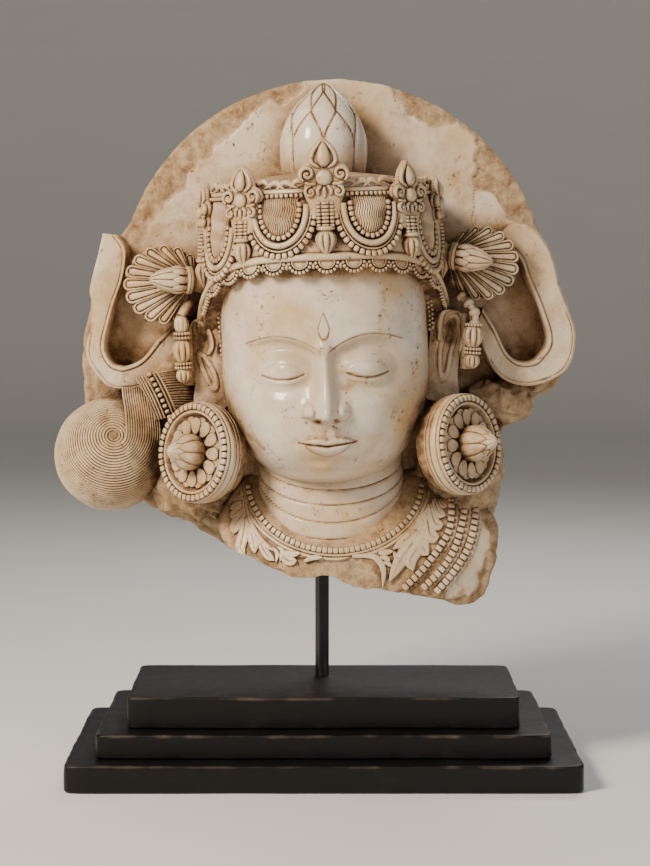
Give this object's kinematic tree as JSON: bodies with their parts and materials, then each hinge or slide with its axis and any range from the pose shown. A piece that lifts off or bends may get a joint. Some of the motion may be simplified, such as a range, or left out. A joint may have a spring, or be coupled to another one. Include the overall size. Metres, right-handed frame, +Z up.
{
  "type": "marble head on stand",
  "caption": "Marble head of a crowned bodhisattva with halo slab and disc earrings, a broken piece of a stele, held by a steel bar on a stepped plinth.",
  "frame": {"origin": "middle of the plinth's underside, on the surface it stands on", "axes": "+X towards the right of someone facing the head, +Y from the face to the back of the stone, +Z up"},
  "size_m": [0.4375, 0.2752, 0.5771],
  "materials": {
    "marble": "polished cream marble with brown dirt in the carving and rough ochre breaks",
    "black_steel": "black paint, satin",
    "black_wood": "black paint, satin, worn at the edges"
  },
  "bodies": {
    "root": {"marble_head": "marble", "support_bar": "black_steel", "stepped_plinth": "black_wood"}
  },
  "joints": []
}
